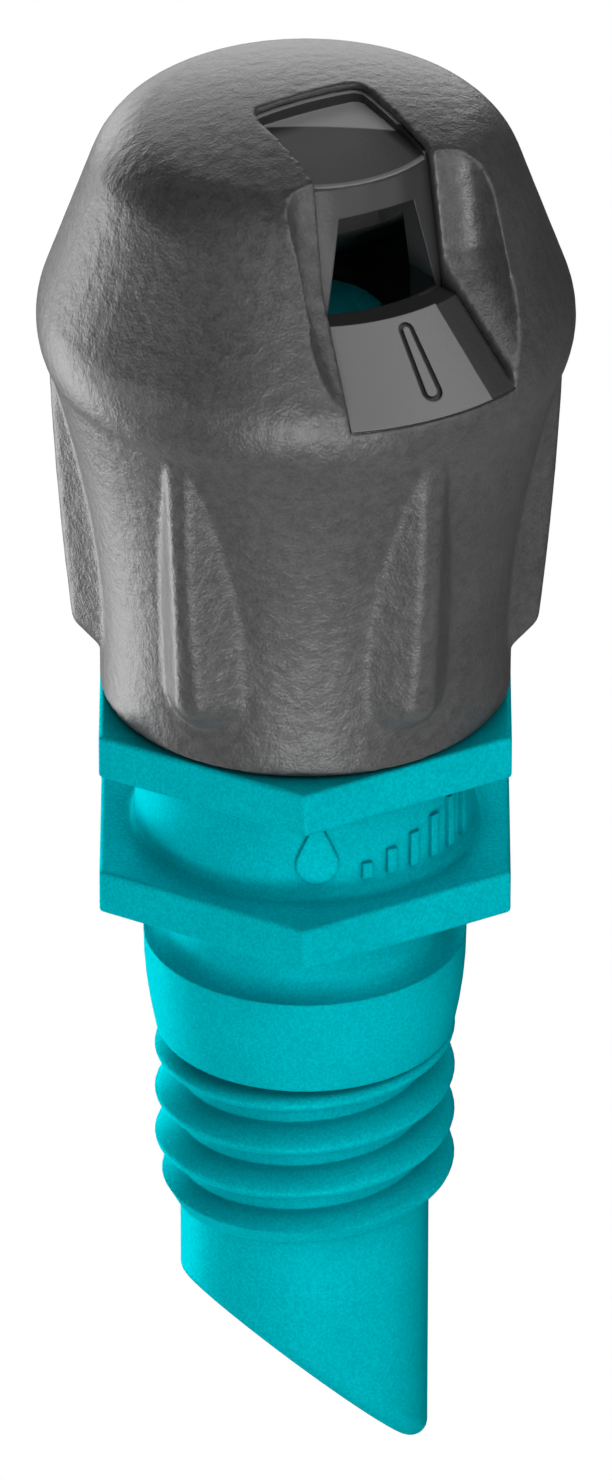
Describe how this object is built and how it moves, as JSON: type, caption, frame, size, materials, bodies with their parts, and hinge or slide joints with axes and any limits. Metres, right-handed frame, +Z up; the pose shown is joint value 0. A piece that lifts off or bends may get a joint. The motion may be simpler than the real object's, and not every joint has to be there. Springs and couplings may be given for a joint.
{
  "type": "adjustable strip-spray emitter",
  "caption": "Screw-in irrigation emitter: threaded stem with slanted tip, hex collar, and a domed ribbed head with a spray window that turns to set the flow.",
  "frame": {"origin": "on the axis, at the underside of the hex collar, where the pipe wall seats", "axes": "+Z up the axis towards the domed head; -Y is the way the spray window faces; the hex has its corners on X"},
  "size_m": [0.013, 0.013, 0.0381],
  "materials": {
    "body_plastic": "satin teal moulded plastic",
    "insert_plastic": "smooth teal moulded plastic",
    "elastomer": "black rubber",
    "strainer_plastic": "natural moulded plastic",
    "ring_plastic": "white acetal",
    "core_plastic": "smooth dark grey plastic",
    "needle_plastic": "smooth dark grey plastic",
    "grip_plastic": "dark grey soft-touch skin with a fine leathery grain"
  },
  "bodies": {
    "base": {"threaded_body": "body_plastic", "jet_insert": "insert_plastic", "seal_ring": "elastomer", "inlet_strainer": "strainer_plastic"},
    "lift_ring": {"retaining_ring": "ring_plastic"},
    "head": {"nozzle_core": "core_plastic", "metering_needle": "needle_plastic", "grip_cap": "grip_plastic"}
  },
  "joints": [
    {"name": "head_lift", "type": "slide", "parent": "base", "child": "lift_ring", "axis": [0, 0, 1], "range_m": [0, 0.0012]},
    {"name": "head_turn", "type": "hinge", "parent": "lift_ring", "child": "head", "pos_m": [0, 0, 0.005], "axis": [0, 0, 1], "range_deg": [0, 270]}
  ],
  "couplings": [
    {"joint": "head_turn", "follows": "head_lift", "rad_per_m": 3927}
  ]
}
